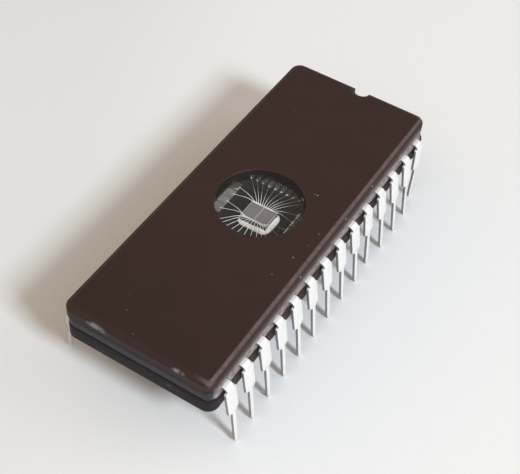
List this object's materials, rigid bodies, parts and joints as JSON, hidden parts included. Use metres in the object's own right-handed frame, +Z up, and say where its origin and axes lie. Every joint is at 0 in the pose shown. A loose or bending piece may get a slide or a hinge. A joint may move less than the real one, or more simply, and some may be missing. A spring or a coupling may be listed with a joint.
{
  "type": "windowed ceramic memory chip",
  "caption": "Erasable memory chip: dark ceramic dual in-line package with a clear round window over its die, an index notch at one end and a row of tinned leads down each long side.",
  "frame": {"origin": "middle of the package's plan, on the surface that the lead tips stand on", "axes": "+Z up through the window; +Y along the package to its notched end; +X to the right seen from above with the notch at the top"},
  "size_m": [0.0172, 0.0371, 0.0086],
  "materials": {
    "ceramic": "matte, dark purple-brown, finely pressed",
    "seal_glass": "fired opaque grey glass, slightly glossy",
    "tin": "matte tin plating",
    "window_glass": "clear, polished",
    "die_attach": "silver-filled glass, rough and pale",
    "silicon": "polished, patterned, purple-grey"
  },
  "bodies": {
    "root": {"ceramic_base": "ceramic", "ceramic_lid": "ceramic", "seal_glass": "seal_glass", "window_lens": "window_glass", "die_attach": "die_attach", "silicon_die": "silicon", "lead_01": "tin", "lead_02": "tin", "lead_03": "tin", "lead_04": "tin", "lead_05": "tin", "lead_06": "tin", "lead_07": "tin", "lead_08": "tin", "lead_09": "tin", "lead_10": "tin", "lead_11": "tin", "lead_12": "tin", "lead_13": "tin", "lead_14": "tin", "lead_15": "tin", "lead_16": "tin", "lead_17": "tin", "lead_18": "tin", "lead_19": "tin", "lead_20": "tin", "lead_21": "tin", "lead_22": "tin", "lead_23": "tin", "lead_24": "tin", "lead_25": "tin", "lead_26": "tin", "lead_27": "tin", "lead_28": "tin"}
  },
  "joints": []
}
